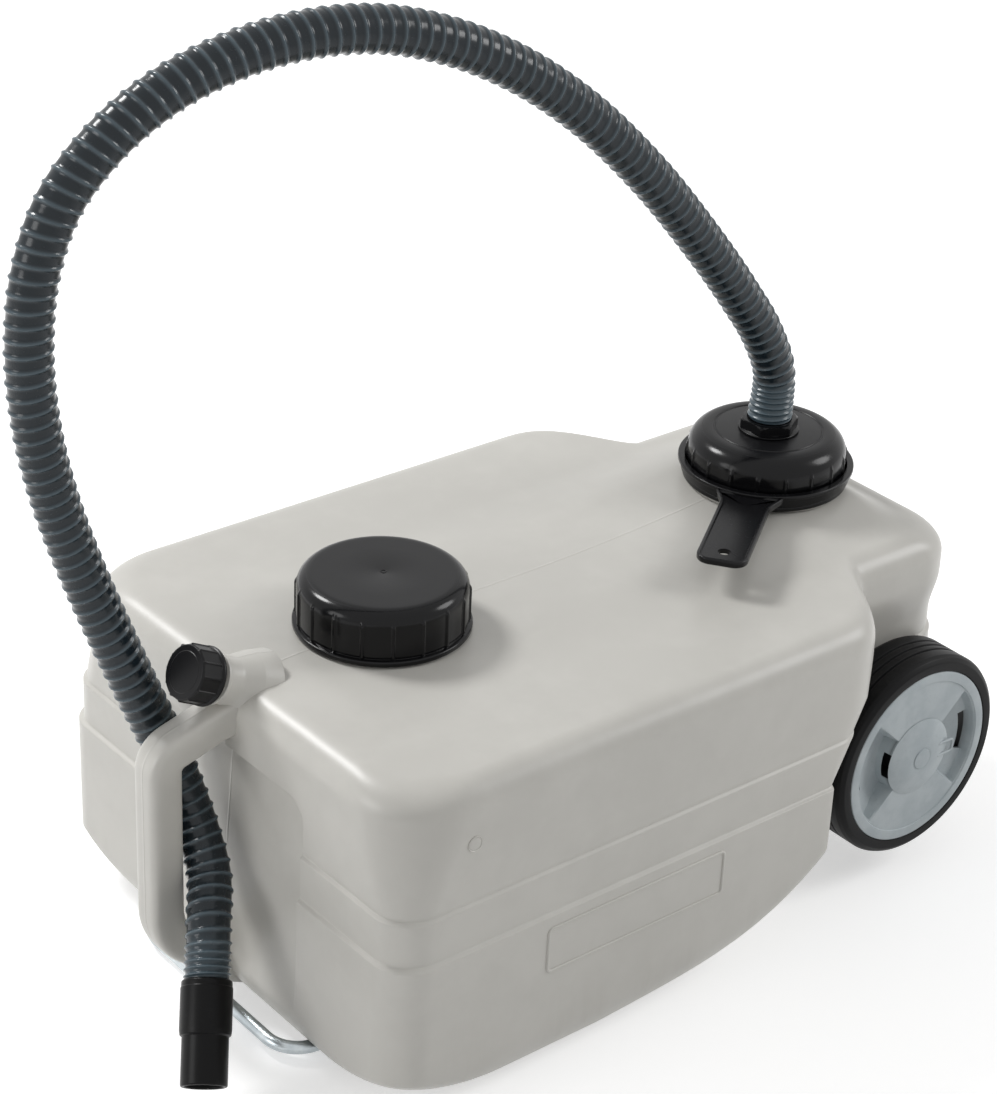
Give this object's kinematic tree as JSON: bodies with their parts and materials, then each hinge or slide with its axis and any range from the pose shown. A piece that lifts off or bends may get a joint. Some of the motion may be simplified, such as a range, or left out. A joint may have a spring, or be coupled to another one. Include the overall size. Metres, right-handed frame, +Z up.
{
  "type": "portable waste water tank",
  "caption": "Portable waste water tank lying flat, with a moulded grip, screw caps, a pull-out tow handle, wheels in a narrowed tail and a ribbed drain hose arched over its top.",
  "frame": {"origin": "middle of the object's length and width, on the surface that the tank's flat belly rests on, measured without the hose and its nozzle", "axes": "+Z up; +X along the tank from the carrying grip towards the wheels; +Y across it, along the axle"},
  "size_m": [0.6091, 0.35, 0.5973],
  "materials": {
    "tank_plastic": "blow-moulded warm light grey polyethylene with a soft satin sheen",
    "black_plastic": "black moulded plastic, satin to glossy",
    "seal_rubber": "plain dark rubber",
    "nozzle_rubber": "smooth black rubber with a soft sheen",
    "tyre_rubber": "satin black tread with round grooves",
    "hose_plastic": "dark blue-grey flexible plastic with glossy ribs",
    "rim_plastic": "blue-grey moulded plastic",
    "zinc_steel": "bright bluish zinc plating"
  },
  "bodies": {
    "tank": {"axle": "zinc_steel", "axle_spacer_left": "black_plastic", "axle_spacer_right": "black_plastic", "axle_strap_left": "zinc_steel", "axle_strap_right": "zinc_steel", "axle_strap_screw_left_front": "zinc_steel", "axle_strap_screw_left_rear": "zinc_steel", "axle_strap_screw_right_front": "zinc_steel", "axle_strap_screw_right_rear": "zinc_steel", "drain_hose": "hose_plastic", "front_guide_left": "zinc_steel", "front_guide_right": "zinc_steel", "front_guide_screw_left_inner": "zinc_steel", "front_guide_screw_left_outer": "zinc_steel", "front_guide_screw_right_inner": "zinc_steel", "front_guide_screw_right_outer": "zinc_steel", "hose_nozzle": "nozzle_rubber", "lock_washer_left": "zinc_steel", "lock_washer_right": "zinc_steel", "rear_guide_left": "zinc_steel", "rear_guide_right": "zinc_steel", "rear_guide_screw_left_inner": "zinc_steel", "rear_guide_screw_left_outer": "zinc_steel", "rear_guide_screw_right_inner": "zinc_steel", "rear_guide_screw_right_outer": "zinc_steel", "tank_body": "tank_plastic"},
    "filler_seal": {"filler_cap_seal": "seal_rubber"},
    "filler_cap": {"filler_cap": "black_plastic"},
    "hose_gland": {"gland_body": "black_plastic", "gland_nut": "black_plastic", "gland_washer": "seal_rubber", "gland_locknut": "black_plastic", "hose_cap_seal": "seal_rubber"},
    "hose_cap": {"hose_cap": "black_plastic"},
    "cap_wrench": {"cap_wrench": "black_plastic"},
    "vent_seal": {"vent_cap_seal": "seal_rubber"},
    "vent_cap": {"vent_cap": "black_plastic"},
    "wheel_right": {"wheel_rim_right": "rim_plastic", "tyre_right": "tyre_rubber", "hub_cap_right": "rim_plastic"},
    "wheel_left": {"wheel_rim_left": "rim_plastic", "tyre_left": "tyre_rubber", "hub_cap_left": "rim_plastic"},
    "tow_handle": {"tow_handle": "zinc_steel", "tow_handle_collar_right": "zinc_steel", "tow_handle_collar_left": "zinc_steel"}
  },
  "joints": [
    {"name": "filler_cap_lift", "type": "slide", "parent": "tank", "child": "filler_seal", "axis": [0, 0, 1], "range_m": [0, 0.012]},
    {"name": "filler_cap_turn", "type": "hinge", "parent": "filler_seal", "child": "filler_cap", "pos_m": [-0.1108, 0, 0.24], "axis": [0, 0, 1], "range_deg": [0, 720]},
    {"name": "hose_cap_lift", "type": "slide", "parent": "tank", "child": "hose_gland", "axis": [0, 0, 1], "range_m": [0, 0.012], "deforming": ["drain_hose"]},
    {"name": "hose_cap_turn", "type": "hinge", "parent": "hose_gland", "child": "hose_cap", "pos_m": [0.2009, 0, 0.248], "axis": [0, 0, 1], "range_deg": [0, 720]},
    {"name": "cap_wrench_lift", "type": "slide", "parent": "hose_cap", "child": "cap_wrench", "axis": [0, 0, 1], "range_m": [0, 0.03]},
    {"name": "vent_cap_lift", "type": "slide", "parent": "tank", "child": "vent_seal", "axis": [-0.8829, 0, 0.4695], "range_m": [0, 0.006]},
    {"name": "vent_cap_turn", "type": "hinge", "parent": "vent_seal", "child": "vent_cap", "pos_m": [-0.2354, 0, 0.2279], "axis": [-0.8829, 0, 0.4695], "range_deg": [0, 720]},
    {"name": "wheel_right_spin", "type": "hinge", "parent": "tank", "child": "wheel_right", "pos_m": [0.2095, -0.1328, 0.0886], "axis": [0, 1, 0], "continuous": true},
    {"name": "wheel_left_spin", "type": "hinge", "parent": "tank", "child": "wheel_left", "pos_m": [0.2095, 0.1328, 0.0886], "axis": [0, 1, 0], "continuous": true},
    {"name": "tow_handle_slide", "type": "slide", "parent": "tank", "child": "tow_handle", "axis": [-1, 0, 0], "range_m": [0, 0.179]}
  ],
  "couplings": [
    {"joint": "filler_cap_lift", "follows": "filler_cap_turn", "m_per_rad": 0.00095483},
    {"joint": "hose_cap_lift", "follows": "hose_cap_turn", "m_per_rad": 0.00095483},
    {"joint": "vent_cap_lift", "follows": "vent_cap_turn", "m_per_rad": 0.00047742}
  ]
}
